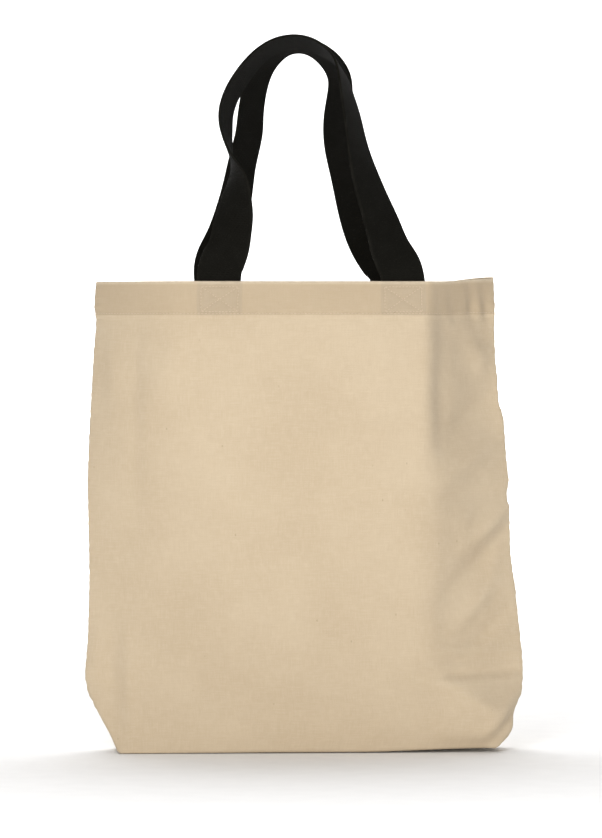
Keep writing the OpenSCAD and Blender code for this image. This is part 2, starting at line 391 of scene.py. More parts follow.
class Shell:
    """The wall as a smooth surface over its pattern."""

    def __init__(self, grid):
        first = 2 * grid[:1] - grid[1:2]
        last = 2 * grid[-1:] - grid[-2:-1]
        self.grid = np.concatenate([first, grid, last])
        self.rows, self.cols = grid.shape[:2]
        self.legs = {
            (leg, back): self.u_of(leg, back)
            for leg in (LEFT_LEG_X, RIGHT_LEG_X) for back in (0, 1)
        }

    @staticmethod
    def weights(t):
        value = [(1 - t) ** 3, 3 * t ** 3 - 6 * t ** 2 + 4, 3 * (t + t ** 2 - t ** 3) + 1, t ** 3]
        slope = [-3 * (1 - t) ** 2, 9 * t ** 2 - 12 * t, 3 + 6 * t - 9 * t ** 2, 3 * t ** 2]
        return np.stack(value) / 6, np.stack(slope) / 6

    def at(self, u, v):
        """Points on the wall, the way round it, the way up it, and the way out of it."""
        u, v = np.broadcast_arrays(np.asarray(u, float), np.asarray(v, float))
        row = np.clip(v / BAG_H, 0, 1) * (self.rows - 1)
        col = u / GIRTH * self.cols
        i = np.minimum(np.floor(row).astype(int), self.rows - 2)
        j = np.floor(col).astype(int)
        row_w, row_d = self.weights(row - i)
        col_w, col_d = self.weights(col - j)
        point, way_round, way_up = (np.zeros(u.shape + (3,)) for _ in range(3))
        for a in range(4):
            for b in range(4):
                corner = self.grid[i + a, (j + b - 1) % self.cols]
                point += (row_w[a] * col_w[b])[..., None] * corner
                way_round += (row_w[a] * col_d[b])[..., None] * corner
                way_up += (row_d[a] * col_w[b])[..., None] * corner
        way_round, way_up = unit(way_round), unit(way_up)
        return point, way_round, way_up, unit(np.cross(way_round, way_up))

    def u_of(self, x, back):
        """The place round the bag of a point x of a panel's hem."""
        u = np.linspace(PANEL_W if back else 0, GIRTH if back else PANEL_W, 400)
        xs = self.at(u, CROSS_Z)[0][:, 0]
        return float(np.interp(x, xs[::-1], u[::-1]) if back else np.interp(x, xs, u))


WALL = Shell(creased(loft()))


# ---------------- thread
STITCH_R = 0.27 * MM
STITCH_SIDES = 6
STITCH_RINGS = 6
TUBE_SIDES = 5
HEM_PITCH = 3 * MM
CROSS_PITCH = 2.7 * MM
OVERLOCK_PITCH = 2.4 * MM
STITCH_GAP = 0.3 * MM
LOOPER_R, NEEDLE_R = 0.24 * MM, 0.22 * MM


def stitches(starts, ends, outs):
    """Separate stitches, each a short thread that rises from its hole and dips back."""
    t = np.linspace(0, 1, STITCH_RINGS)
    lift = STITCH_R * mix(-0.55, 0.75, np.sin(np.pi * t))
    thick = STITCH_R * mix(0.35, 1, np.sin(np.pi * mix(0.06, 0.94, t)) ** 0.5)
    side = unit(np.cross(unit(ends - starts), outs))
    centre = starts[:, None] + (ends - starts)[:, None] * t[:, None] + outs[:, None] * lift[:, None]
    angle = np.linspace(0, 2 * math.pi, STITCH_SIDES, endpoint=False)
    ring = np.cos(angle)[:, None] * side[:, None] + np.sin(angle)[:, None] * outs[:, None]
    points = centre[:, :, None] + thick[:, None, None] * ring[:, None]
    faces = []
    for k in range(len(starts)):
        faces += tube_faces(STITCH_RINGS, STITCH_SIDES, k * STITCH_RINGS * STITCH_SIDES)
    uvs = np.stack(np.broadcast_arrays(t[:, None] * HEM_PITCH, angle * STITCH_R), axis=-1)
    return points.reshape(-1, 3), faces, np.tile(uvs.reshape(-1, 2), (len(starts), 1))


def joined(parts):
    """Several (points, faces, uvs) as one."""
    points, faces, uvs, first = [], [], [], 0
    for p, f, t in parts:
        points.append(p)
        uvs.append(t)
        faces += [[i + first for i in face] for face in f]
        first += len(p)
    return np.concatenate(points), faces, np.concatenate(uvs)


def tube(path, radius):
    """A round thread along a path."""
    way = unit(np.gradient(path, axis=0))
    side = unit(np.cross(way, [0.31, 0.17, 0.93]))
    up = np.cross(side, way)
    angle = np.linspace(0, 2 * math.pi, TUBE_SIDES, endpoint=False)
    ring = np.cos(angle)[:, None] * side[:, None] + np.sin(angle)[:, None] * up[:, None]
    points = path[:, None] + radius * ring
    uvs = np.stack(np.broadcast_arrays(along(path)[:, None], angle * radius), axis=-1)
    return points.reshape(-1, 3), tube_faces(len(path), TUBE_SIDES), uvs.reshape(-1, 2)


# ---------------- materials
class Tree:
    """Short calls for building a material's nodes."""

    def __init__(self, name):
        self.material = bpy.data.materials.new(name)
        self.material.use_nodes = True
        self.nodes = self.material.node_tree.nodes
        self.links = self.material.node_tree.links
        self.shader = self.nodes["Principled BSDF"]

    def add(self, kind, inputs=(), out=0, **settings):
        made = self.nodes.new("ShaderNode" + kind)
        for key, value in settings.items():
            setattr(made, key, value)
        for key, value in dict(inputs).items():
            self.set(made, key, value)
        return made.outputs[out]

    def set(self, made, key, value):
        if isinstance(value, bpy.types.NodeSocket):
            self.links.new(value, made.inputs[key])
        else:
            made.inputs[key].default_value = value

    def math(self, operation, *values):
        return self.add("Math", dict(enumerate(values)), operation=operation)

    def times(self, a, b):
        return self.math("MULTIPLY", a, b)

    def pattern(self):
        split = self.nodes.new("ShaderNodeSeparateXYZ")
        self.links.new(self.add("UVMap", uv_map="pattern"), split.inputs[0])
        return split.outputs[0], split.outputs[1]

    def place(self, x, y, z=0.0):
        return self.add("CombineXYZ", {0: x, 1: y, 2: z})

    def noise(self, place, scale, detail=2.0, roughness=0.5):
        values = {"Vector": place, "Scale": scale, "Detail": detail, "Roughness": roughness}
        return self.add("TexNoise", values)

    def span(self, value, low, high, to_low=0.0, to_high=1.0):
        values = {"Value": value, 1: low, 2: high, 3: to_low, 4: to_high}
        return self.add("MapRange", values, interpolation_type="SMOOTHSTEP")

    def blend(self, factor, a, b):
        return self.add("Mix", {0: factor, 6: a, 7: b}, out=2, data_type="RGBA")

    def bump(self, height, distance, strength, under=None):
        values = {"Height": height, "Distance": distance, "Strength": strength}
        if under is not None:
            values["Normal"] = under
        return self.add("Bump", values)

    def finish(self, **inputs):
        for key, value in inputs.items():
            self.set(self.shader, key.replace("_", " "), value)
        return self.material


def canvas_material(name, tint, rim_wear_and_highlight, hem=0.0):
    """Natural cotton canvas: plain weave, uneven yarn, slubs and flecks of seed.

    Where hem is above 0, the hem band gets painted shade where the cloth lies doubled, the mouth's fold
    gets a painted highlight, and the black handle ends show faintly through the hem as painted shade.
    """
    yarn = 0.72 * MM
    tree = Tree(name)
    u, v = tree.pattern()
    flat = tree.place(u, v)
    along_v = tree.place(tree.times(u, 22.0), v)
    along_u = tree.place(u, tree.times(v, 22.0))
    sway_u = tree.times(tree.noise(flat, 90.0), 1.6)
    sway_v = tree.times(tree.noise(tree.place(v, u, 0.3), 90.0), 1.6)
    warp = tree.math("SINE", tree.math("MULTIPLY_ADD", u, 2 * math.pi / yarn, sway_u))
    weft = tree.math("SINE", tree.math("MULTIPLY_ADD", v, 2 * math.pi / yarn, sway_v))
    weave = tree.times(warp, weft)
    slubs = tree.noise(along_v, 70.0, 3.0, 0.6), tree.noise(along_u, 64.0, 3.0, 0.6)
    streak = tree.math("ADD", *slubs)
    cloud = tree.noise(flat, 13.0, 4.0, 0.55)
    mottle = tree.noise(flat, 160.0, 3.0, 0.65)
    base = tree.blend(tree.span(cloud, 0.28, 0.72, 0.15, 0.85), tint["dark"], tint["light"])
    hem_v = BAG_H - HEM_H
    for amount, tone in (
        (tree.span(streak, 0.90, 1.30, 0.0, 0.34), "pale"),
        (tree.span(streak, 0.98, 0.66, 0.0, 0.22), "dark"),
        (tree.span(mottle, 0.40, 0.70, 0.0, 0.18), "pale"),
        # Painted shade: the hem band is darker where the cloth lies doubled
        (tree.times(tree.span(v, hem_v + 1.5 * MM, hem_v + 3 * MM), hem), "deep"),
    ):
        base = tree.blend(amount, base, tint[tone])
    if hem:
        # Painted highlight along the mouth's fold
        rim = tree.span(v, BAG_H - 4 * MM, BAG_H - 1 * MM, 0.0, 0.5)
        base = tree.blend(rim, base, tint["pale"])
        # Over each black handle end inside the hem: the end showing through the cloth, and painted shade
        for place in WALL.legs.values():
            aside = tree.math("ABSOLUTE", tree.math("SUBTRACT", u, place))
            over = tree.span(aside, STRAP_W / 2 + 1 * MM, STRAP_W / 2 - 1 * MM, 0.0, 0.20)
            above = tree.span(v, hem_v + 1 * MM, hem_v + 3 * MM)
            base = tree.blend(tree.times(over, above), base, SHOW_THROUGH_SHADE)
    speck = tree.nodes.new("ShaderNodeTexVoronoi")
    tree.set(speck, "Vector", tree.place(u, tree.times(v, 0.6)))
    tree.set(speck, "Scale", 105.0)
    chosen = tree.add("SeparateColor", {0: speck.outputs["Color"]})
    near = tree.span(speck.outputs["Distance"], 0.085, 0.035)
    # Paler at the top of the mouth's fold: wear, and a painted highlight
    worn_and_lit_rim = tree.times(tree.span(v, BAG_H - 3 * MM, BAG_H), tree.span(mottle, 0.35, 0.6))
    # Darker towards the base
    low_darkening = tree.times(tree.span(v, 26 * MM, 0.0), tree.span(cloud, 0.35, 0.6, 0.1, 0.55))
    for amount, tone in (
        (tree.span(weave, -1.0, 1.0, 0.22, 0.0), "deep"),
        (tree.times(near, tree.span(chosen, 0.70, 0.95, 0.0, 0.35)), "fleck"),
        (tree.times(worn_and_lit_rim, rim_wear_and_highlight), "pale"),
        (tree.times(low_darkening, 0.16), "deep"),
    ):
        base = tree.blend(amount, base, tint[tone])
    yarns = tree.math("MULTIPLY_ADD", weave, 0.5, tree.times(streak, 1.1))
    relief = tree.bump(tree.math("MULTIPLY_ADD", mottle, 0.9, yarns), 0.16 * MM, 0.75)
    rumple = tree.bump(tree.noise(flat, 55.0, 3.0, 0.55), 0.9 * MM, 0.35, relief)
    rough = tree.span(streak, 0.7, 1.3, 0.94, 0.80)
    return tree.finish(
        Base_Color=base, Roughness=rough, Normal=rumple,
        Specular_IOR_Level=0.25, Sheen_Weight=0.12, Sheen_Roughness=0.5,
    )


def webbing_material(name):
    """Black cotton webbing: fine warp yarns over the cross ribs, worn along its edges."""
    yarn = 0.85 * MM
    tree = Tree(name)
    length, width = tree.pattern()
    place = tree.place(length, width)
    warp = tree.math("SINE", tree.times(width, 2 * math.pi / yarn))
    slant = tree.math("ADD", tree.times(length, 2600.0), tree.times(width, 1500.0))
    yarns = tree.math("MULTIPLY_ADD", warp, 0.6, tree.times(tree.math("SINE", slant), 0.4))
    fuzz = tree.noise(place, 900.0, 3.0, 0.7)
    cloud = tree.noise(place, 60.0, 3.0, 0.6)
    black = (0.0062, 0.0058, 0.0044, 1)
    worn = (0.0150, 0.0140, 0.0112, 1)
    base = tree.blend(tree.span(cloud, 0.35, 0.75, 0.0, 0.7), black, (0.0082, 0.0078, 0.0062, 1))
    base = tree.blend(tree.span(fuzz, 0.50, 0.75, 0.0, 0.6), base, worn)
    edge = tree.span(tree.math("ABSOLUTE", width), 0.40 * STRAP_W, 0.5 * STRAP_W, 0.0, 0.55)
    base = tree.blend(tree.times(edge, tree.span(cloud, 0.3, 0.7)), base, worn)
    relief = tree.bump(tree.math("MULTIPLY_ADD", fuzz, 0.6, yarns), 0.14 * MM, 0.7)
    return tree.finish(
        Base_Color=base, Roughness=0.78, Normal=relief,
        Specular_IOR_Level=0.04, Sheen_Weight=0.005, Sheen_Roughness=0.4,
    )


def thread_material(name, pale, dark):
    """Spun sewing thread: twisted plies with a slight gloss."""
    tree = Tree(name)
    length, turn = tree.pattern()
    place = tree.place(length, turn)
    slant = tree.math("ADD", tree.times(length, 9000.0), tree.times(turn, 4000.0))
    ply = tree.math("SINE", slant)
    fuzz = tree.noise(place, 1500.0, 2.0, 0.6)
    base = tree.blend(tree.span(ply, -1.0, 0.4), dark, pale)
    base = tree.blend(tree.span(fuzz, 0.4, 0.7, 0.0, 0.4), base, dark)
    relief = tree.bump(ply, 0.05 * MM, 0.8)
    return tree.finish(Base_Color=base, Roughness=0.6, Normal=relief, Sheen_Weight=0.2)


# A copy of the tints painted darker, as shade
def darker(tint, share_left):
    return {key: tuple(share_left * c for c in tone[:3]) + (1,) for key, tone in tint.items()}


# Colour over the handle ends inside the hem: the ends showing through, and painted shade
SHOW_THROUGH_SHADE = (0.33, 0.29, 0.24, 1)
NATURAL = {
    "light": (0.630, 0.512, 0.358, 1), "dark": (0.558, 0.441, 0.298, 1),
    "pale": (0.705, 0.592, 0.438, 1), "deep": (0.410, 0.310, 0.198, 1),
    "fleck": (0.250, 0.165, 0.092, 1),
}
CANVAS = canvas_material("natural_canvas", NATURAL, 0.6, hem=0.44)
# The turned-in hem and the seam allowances inside the bag: copies of the canvas painted darker as shade
HEM_CANVAS = canvas_material("hem_canvas", darker(NATURAL, 0.965), 0.8)
SEAM_CANVAS = canvas_material("seam_canvas", darker(NATURAL, 0.93), 0.2)
WEBBING = webbing_material("black_webbing")
THREAD = thread_material("natural_thread", (0.68, 0.56, 0.41, 1), (0.50, 0.39, 0.26, 1))
OVERLOCK = thread_material("overlock_thread", (0.74, 0.65, 0.52, 1), (0.52, 0.43, 0.31, 1))


# ---------------- the wall and its pieces
EDGE_U = 0.15 * MM
HEM_R = CLOTH_T + GAP / 2
TURN_IN = 2 * MM
FOOT_R = 3 * MM
# Least room between cloth and the floor or the other wall
CLEAR = 0.1 * MM


def pucker(u, v, strength):
    """Small gathers that run across the hem."""
    height = np.zeros(np.broadcast(u, v).shape)
    for k, (phase, length, lean) in enumerate(PUCKER_SEEDS):
        pitch = (9 + 13 * length + 2 * k) * MM
        height += np.sin(2 * math.pi * (u + (lean - 0.5) * 0.9 * (v - BAG_H)) / pitch + 9 * phase)
    return height / 5 * strength


def dress(u, v):
    """How far the sewn wall stands out from the plain one, at places on the pattern."""
    height = 0.28 * MM * ease(share(v, BAG_H - HEM_H - 1.5 * MM, BAG_H - HEM_H + 1.5 * MM))
    # Gathers over the hem, strongest beside the right seam
    gather = bump(v - ROW_V, 9 * MM) + 0.55 * ease(share(v, ROW_V, ROW_V + 6 * MM))
    right = bump(u - (PANEL_W - 26 * MM), 34 * MM) + bump(u - (PANEL_W + 26 * MM), 34 * MM)
    height = height + pucker(u, v, 0.55 * MM) * gather * (0.5 + 2.0 * right)
    # The sunken row of stitches
    row = bump(v - ROW_V, 0.9 * MM)
    height = height - row * (0.34 + 0.10 * np.cos(2 * math.pi * u / HEM_PITCH)) * MM
    # The groove of a side seam, and the tugs beside it
    seam = np.abs((u + PANEL_W / 2) % PANEL_W - PANEL_W / 2)
    height = height - 0.8 * MM * bump(seam, 0.9 * MM)
    tug = np.sin(2 * math.pi * v / (7.5 * MM)) + 0.6 * np.sin(2 * math.pi * v / (12.3 * MM) + 1)
    height = height + 0.30 * MM * tug * bump(seam - 4.5 * MM, 4.5 * MM)
    # The boxed crosses: sunken lines, and cloth that swells between them
    dv = np.abs(v - CROSS_Z)
    for leg in WALL.legs.values():
        du = np.abs(u - leg)
        box = np.maximum(du - CROSS_W / 2, dv - CROSS_H / 2)
        cross = np.abs(du * CROSS_H - dv * CROSS_W) / math.hypot(CROSS_W, CROSS_H)
        cut = np.maximum(bump(box, 0.9 * MM), bump(cross, 0.9 * MM) * (box < 0))
        height = np.where(box < 3 * MM, height - 0.30 * MM * cut, height)
        height = height + 0.25 * MM * (box < 0) * (1 - cut)
    return height


def lift_corner(point):
    """The right end of the base stands a little off the floor."""
    rise = 3.2 * MM * ease(share(point[..., 0], 40 * MM, 165 * MM))
    rise = rise * (1 - ease(share(point[..., 2], 0, 60 * MM)))
    return point + rise[..., None] * [0, 0, 1]


def wall_point(u, v, inset):
    """A point of the sewn wall, set in from the outside; past v = BAG_H it turns over."""
    flat_v = np.minimum(v, BAG_H - HEM_R)
    point, _, up, out = WALL.at(u, flat_v)
    turn = np.clip((v - flat_v) / (math.pi * HEM_R), 0, 1) * math.pi
    past = np.maximum(v - flat_v - math.pi * HEM_R, 0)
    radius = HEM_R - inset
    foot = FOOT_R - np.sqrt(np.maximum(FOOT_R ** 2 - np.maximum(FOOT_R - v, 0) ** 2, 0))
    reach = dress(u, flat_v) - HEM_R + radius * np.cos(turn) - foot
    point = point + out * reach[..., None] + up * (radius * np.sin(turn) - past)[..., None]
    point[..., 2] = np.maximum(point[..., 2], inset + CLEAR)
    return lift_corner(point)


def keep_to_side(points, v, back):
    """Keeps a panel's inner layers on its own side of the side seams."""
    left, right = (WALL.at(place, v)[0] for place in (0, PANEL_W))
    run = share(points[..., 0], left[..., 0], right[..., 0])
    middle = mix(left[..., 1], right[..., 1], run)
    kept = points.copy()
    keep, off = (np.maximum, CLEAR) if back else (np.minimum, -CLEAR)
    kept[..., 1] = keep(kept[..., 1], middle + off)
    return kept


def pattern_columns(back):
    """Places round a panel: close together at the seams and under the handles."""
    fine = [EDGE_U, 0.45 * MM, 0.9 * MM, 1.5 * MM, 2.3 * MM, 3.4 * MM]
    coarse = np.linspace(4.8 * MM, PANEL_W - 4.8 * MM, 164)
    places = np.concatenate([fine, coarse, PANEL_W - np.array(fine[::-1])])
    offset = PANEL_W if back else 0
    legs = [WALL.legs[leg, back] - offset for leg in (LEFT_LEG_X, RIGHT_LEG_X)]
    extra = [leg + side * CROSS_W / 2 + d * MM for leg in legs for side in (-1, 1) for d in (-1, 0, 1)]
    return np.unique(np.round(np.concatenate([places, extra]), 6)) + offset


def panel(name, back, nodes):
    """One wall of the bag, with the fold of its hem at the mouth."""
    u = pattern_columns(back)
    low = np.array([0, 0.4, 0.9, 1.5, 2.2, 3.0, 4.2]) * MM
    body_rows = np.linspace(6 * MM, BAG_H - HEM_H - 4 * MM, 158)
    hem_rows = np.arange(BAG_H - HEM_H - 3 * MM, BAG_H - HEM_R, 0.9 * MM)
    turn_rows = BAG_H - HEM_R + np.linspace(0.02, 1, 9) * math.pi * HEM_R
    past_rows = turn_rows[-1] + np.array([1, 2]) / 2 * TURN_IN
    v = np.concatenate([low, body_rows, hem_rows, turn_rows, past_rows])
    uu, vv = np.meshgrid(u, v)
    outer = wall_point(uu, vv, 0)
    inner = keep_to_side(wall_point(uu, vv, CLOTH_T), vv, back)
    past = vv > BAG_H - HEM_R
    outer = np.where(past[..., None], keep_to_side(outer, vv, back), outer)
    points, faces = sheet_mesh(outer, inner)
    return piece(name, points, faces, both_sides(uu, vv), CANVAS, nodes)


def hem_ply(name, back, nodes):
    """The turned-in layer of the hem, from just under the fold to its raw lower edge."""
    u = pattern_columns(back)[2:-2]
    drop = np.linspace(TURN_IN + 0.2 * MM, HEM_H, 26)
    uu, dd = np.meshgrid(u, drop)
    vv = BAG_H - dd
    flat_v = np.minimum(vv, BAG_H - HEM_R)
    point, _, up, out = WALL.at(uu, flat_v)
    loose = 0.5 * MM * np.sin(2 * math.pi * uu / (17 * MM)) * ease(share(dd, HEM_H - 4 * MM, HEM_H))
    reach = dress(uu, vv) * 0.8 - CLOTH_T - GAP - np.abs(loose)
    near = point + out * reach[..., None] + up * (vv - flat_v)[..., None]
    near, far = (keep_to_side(layer, vv, back) for layer in (near, near - out * CLOTH_T))
    points, faces = sheet_mesh(near, far)
    uvs = both_sides(uu, 2 * BAG_H - vv)
    return piece(name, points, faces, uvs, HEM_CANVAS, nodes)


def base_cloth():
    """The floor of the bag, a single layer that is not quite flat."""
    left, right = -side_x(LEFT_SIDE, [0])[0], side_x(RIGHT_SIDE, [0])[0]
    set_in = FOOT_R - 0.4 * MM
    x = np.linspace(left + set_in, right - set_in, 120)
    y = np.linspace(-BASE_Y + set_in, BASE_Y - set_in, 26)
    xx, yy = np.meshgrid(x, y)
    dome = (1 - (yy / BASE_Y) ** 2) * (1 - (np.abs(xx) / BASE_X) ** 6)
    sag = 0.5 * (1 + np.sin(xx / (31 * MM) + 1.3) * np.cos(yy / (14 * MM))) * dome * 1.6 * MM
    top = np.stack([xx, yy, CLOTH_T + 0.25 * MM + sag], axis=-1)
    bottom = top - [0, 0, CLOTH_T]
    points, faces = sheet_mesh(lift_corner(bottom), lift_corner(top))
    uvs = both_sides(xx + 1, yy + 1)
    return piece("base_cloth", points, faces, uvs, CANVAS, ["base_panel"])


def seam_strip(name, path, across, out, nodes):
    """A seam allowance: two layers that lie together and part a little at their raw edge."""
    place = along(path)
    parts = []
    cols = np.linspace(0, 1, 7)
    for ply, side in enumerate((-1, 1)):
        wave = np.sin(place / (9 * MM) + 2 * ply) + 0.6 * np.sin(place / (4.3 * MM) + ply)
        edge = SEAM_W * (1 + 0.05 * np.sin(place / (6.1 * MM) + ply))
        open_by = cols ** 2 * (0.22 + 0.16 * wave[:, None]) * MM
        middle = side * (CLOTH_T * 0.42 + open_by)
        body = path[:, None] + across[:, None] * (cols * edge[:, None])[..., None]
        near = body + out[:, None] * (middle + 0.4 * CLOTH_T)[..., None]
        far = body + out[:, None] * (middle - 0.4 * CLOTH_T)[..., None]
        points, faces = sheet_mesh(near.transpose(1, 0, 2), far.transpose(1, 0, 2))
        parts.append((points, faces, both_sides(cols[:, None] * SEAM_W, place[None])))
    points, faces, uvs = joined(parts)
    return piece(name, points, faces, uvs, SEAM_CANVAS, nodes)


def side_seam_frame(right):
    """Where a side seam's allowance lies: its path, the way in, and the way through it."""
    v = np.linspace(SEAM_LOW.z + 3 * MM, BAG_H - HEM_H - 2 * MM, 180)
    u = PANEL_W if right else 0.0
    ridge = WALL.at(u, v)[0]
    inward = np.tile([-1.0 if right else 1.0, 0.0, 0.0], (len(v), 1))
    wedge = [WALL.at(u + d * MM, v)[0] for d in (-9, 9)]
    apart = np.abs(wedge[0][:, 1] - wedge[1][:, 1]) / 2
    depth = np.abs((wedge[0] + wedge[1])[:, 0] / 2 - ridge[:, 0])
    start = CLOTH_T + GAP + 2 * CLOTH_T * depth / np.maximum(apart, 1 * MM)
    path = lift_corner(ridge + inward * start[:, None])
    return path, inward, unit(np.cross(np.gradient(path, axis=0), inward))


def overlock(name, path, across, out, nodes):
    """Thread looped over the raw edge of a seam allowance."""
    place = along(path)
    length = place[-1]
    turns = np.arange(4 * int(length / OVERLOCK_PITCH) + 1)
    at = np.minimum(turns * OVERLOCK_PITCH / 4, length)
    reach = np.where(turns % 2, 1.06, 0.72)[:, None] * SEAM_W
    side = np.array([1, 0.2, -1, 0.2])[turns % 4, None] * CLOTH_T * 1.12
    line, inward, through_seam = (rows_at(at, place, rows) for rows in (path, across, out))
    line = line + inward * reach + through_seam * side
    fine = through(np.arange(len(line)), line, np.linspace(0, len(line) - 1, 2 * len(line)))
    parts = [tube(fine, LOOPER_R)]
    for side in (1, -1):
        chain = path + across * 0.70 * SEAM_W + out * side * CLOTH_T * 1.15
        chain = evenly(chain, int(length / (0.8 * MM)))
        chain[:, 0] += np.sin(np.arange(len(chain)) * math.pi / 2) * 0.16 * MM
        parts.append(tube(chain, NEEDLE_R))
    points, faces, uvs = joined(parts)
    return piece(name, points, faces, uvs, OVERLOCK, nodes)


def hem_stitches(name, back, nodes):
    """The row of stitches that holds the hem, seen outside and inside."""
    start = (PANEL_W if back else 0) + HEM_PITCH / 2
    count = int((PANEL_W - HEM_PITCH) / HEM_PITCH)
    jitter = random.normal(0, 0.12 * MM, (2, count))
    a = start + np.arange(count) * HEM_PITCH + STITCH_GAP
    b = a + HEM_PITCH - 2 * STITCH_GAP
    parts = []
    # The outer row, and the inner one on the hem's turned-in layer
    for inset in (0, 2 * CLOTH_T + GAP):
        ends = []
        for u, move in ((a, jitter[0]), (b, jitter[1])):
            point, _, _, out = WALL.at(u, ROW_V + move)
            by = dress(u, ROW_V) * (0.8 if inset else 1) - inset
            ends.append(point + out * by[:, None])
        parts.append(stitches(*ends, -out if inset else out))
    points, faces, uvs = joined(parts)
    return piece(name, points, faces, uvs, THREAD, nodes)


def cross_lines():
    """The lines of a boxed cross, about its middle."""
    w, h = CROSS_W / 2, CROSS_H / 2
    a, b, c, d = np.array([(-w, -h), (w, -h), (w, h), (-w, h)])
    return [(a, b), (b, c), (c, d), (d, a), (a, c), (b, d)]


def cross_stitches(name, leg, back, nodes):
    """A box of stitches with a cross in it, through the hem and a handle's end."""
    centre = WALL.legs[leg, back]
    starts, ends = [], []
    for a, b in cross_lines():
        length = np.linalg.norm(b - a)
        dots = a + (b - a) * np.linspace(0, 1, round(length / CROSS_PITCH) + 1)[:, None]
        inset = 0.28 * MM * (b - a) / length
        starts.append(dots[:-1] + inset)
        ends.append(dots[1:] - inset)
    starts, ends = np.concatenate(starts), np.concatenate(ends)
    starts = starts + random.normal(0, 0.10 * MM, starts.shape)
    parts = []
    sign = -1 if back else 1
    for face in ("outside", "inside"):
        places = []
        for spot in (starts, ends):
            u, v = centre + sign * spot[:, 0], CROSS_Z + spot[:, 1]
            point, _, _, out = WALL.at(u, v)
            if face == "outside":
                places.append(point + out * dress(u, v)[:, None])
            else:
                y = -sign * (STRAP_Y - STRAP_T / 2 - RIB_H / 2)
                places.append(np.stack([point[:, 0], np.full(len(u), y), v], axis=1))
                out = np.tile([0.0, sign, 0.0], (len(u), 1))
        parts.append(stitches(*places, out))
    points, faces, uvs = joined(parts)
    return piece(name, points, faces, uvs, THREAD, nodes)


# ---------------- handles
RIB_PITCH = 1.9 * MM
RIB_H = 0.22 * MM
# The middle line of each free loop as the camera sees it, from left to right, in millimetres:
# x, z, how far the webbing has turned on edge in degrees, and depth from the bag's middle.
FRONT_ROUTE = [
    (-75, 419, 4, 52), (-68.7, 433, 20, 51.5), (-65, 450, 28, 50), (-62.8, 462, 34, 48),
    (-61.4, 477, 48, 46), (-60.4, 490, 61, 44), (-61.8, 502, 76, 42), (-65.2, 513, 90, 40),
    (-68.2, 524.5, 99, 38), (-70, 538, 107, 35), (-69.6, 552, 110, 32), (-66.2, 564, 111, 29),
    (-59.5, 577, 111, 26), (-51, 589, 110, 24), (-41, 600, 108, 22), (-28, 609, 106, 21),
    (-12, 613.2, 104, 20), (4, 611, 102, 20), (16.5, 604.5, 97, 20.5), (25.5, 596.5, 89, 21),
    (31.3, 585.5, 78, 23), (35, 572, 72, 26), (39.3, 553, 66, 30), (43.8, 530, 62, 34),
    (50, 503, 52, 40), (57.8, 478, 44, 45), (66.5, 453, 34, 49), (74, 431, 20, 51.5), (81, 417, 6, 52),
]
BACK_ROUTE = [
    (-75, 419, 5, 52), (-68, 440, 22, 50), (-61.5, 463, 36, 47), (-57, 483, 43, 44),
    (-54.4, 498, 47, 42), (-51.6, 512, 49, 39), (-48.4, 525, 50, 36), (-46, 538, 51, 33),
    (-45, 551, 53, 31), (-43.3, 564, 54, 28), (-40.5, 578, 55, 25), (-35, 591, 59, 23),
    (-24.5, 602.5, 67, 21), (-10, 609.5, 74, 20), (5, 609, 74, 20), (18, 602, 70, 20.5),
    (27, 592.5, 66, 22), (32, 581, 62, 24.5), (32.2, 568, 58, 27), (30.4, 552, 55, 30),
    (31.4, 526, 51, 35), (38, 500, 46, 41), (49.5, 461, 30, 48), (61.5, 435, 13, 51.5),
    (73, 418, 2, 52),
]
# Heights of a sewn end's points, up to the mouth, and where the sewn ends are across the bag
SEWN_Z = np.array([378, 392, 405])
SEWN_LEFT_X, FRONT_SEWN_RIGHT_X, BACK_SEWN_RIGHT_X = -75.5, 82, 80
ROUTE_BLUR = 4.5 * MM
ROUTE_STEPS = 1200
# Height above which the webbing sways to the full
SWAY_Z = 450 * MM


def smoothed(line, step):
    """An evenly spaced line with its small kinks taken out and its ends kept."""
    reach = int(3 * ROUTE_BLUR / step)
    weight = bump(np.arange(-reach, reach + 1) * step, ROUTE_BLUR)
    low = 2 * line[:1] - line[reach:0:-1]
    high = 2 * line[-1:] - line[-2:-reach - 2:-1]
    longer = np.concatenate([low, line, high])
    columns = [np.convolve(longer[:, k], weight / weight.sum(), mode="valid") for k in range(4)]
    return np.stack(columns, axis=1)


def with_sewn_ends(route, back):
    """A handle's whole middle line in its real place: x, depth, z and turn, end to end."""
    x, z, turn, depth = np.array(route, float).T
    nearer = 1 - (-depth if back else depth) * MM / CAMERA_AWAY
    eye = CAMERA_Z / MM
    free = np.stack([x * nearer, depth, eye + (z - eye) * nearer, turn], axis=1)
    left, right = (
        np.stack([0 * SEWN_Z + leg, 0 * SEWN_Z + STRAP_Y / MM, SEWN_Z, 0 * SEWN_Z], axis=1)
        for leg in (SEWN_LEFT_X, BACK_SEWN_RIGHT_X if back else FRONT_SEWN_RIGHT_X)
    )
    return np.concatenate([left, free, right[::-1]])


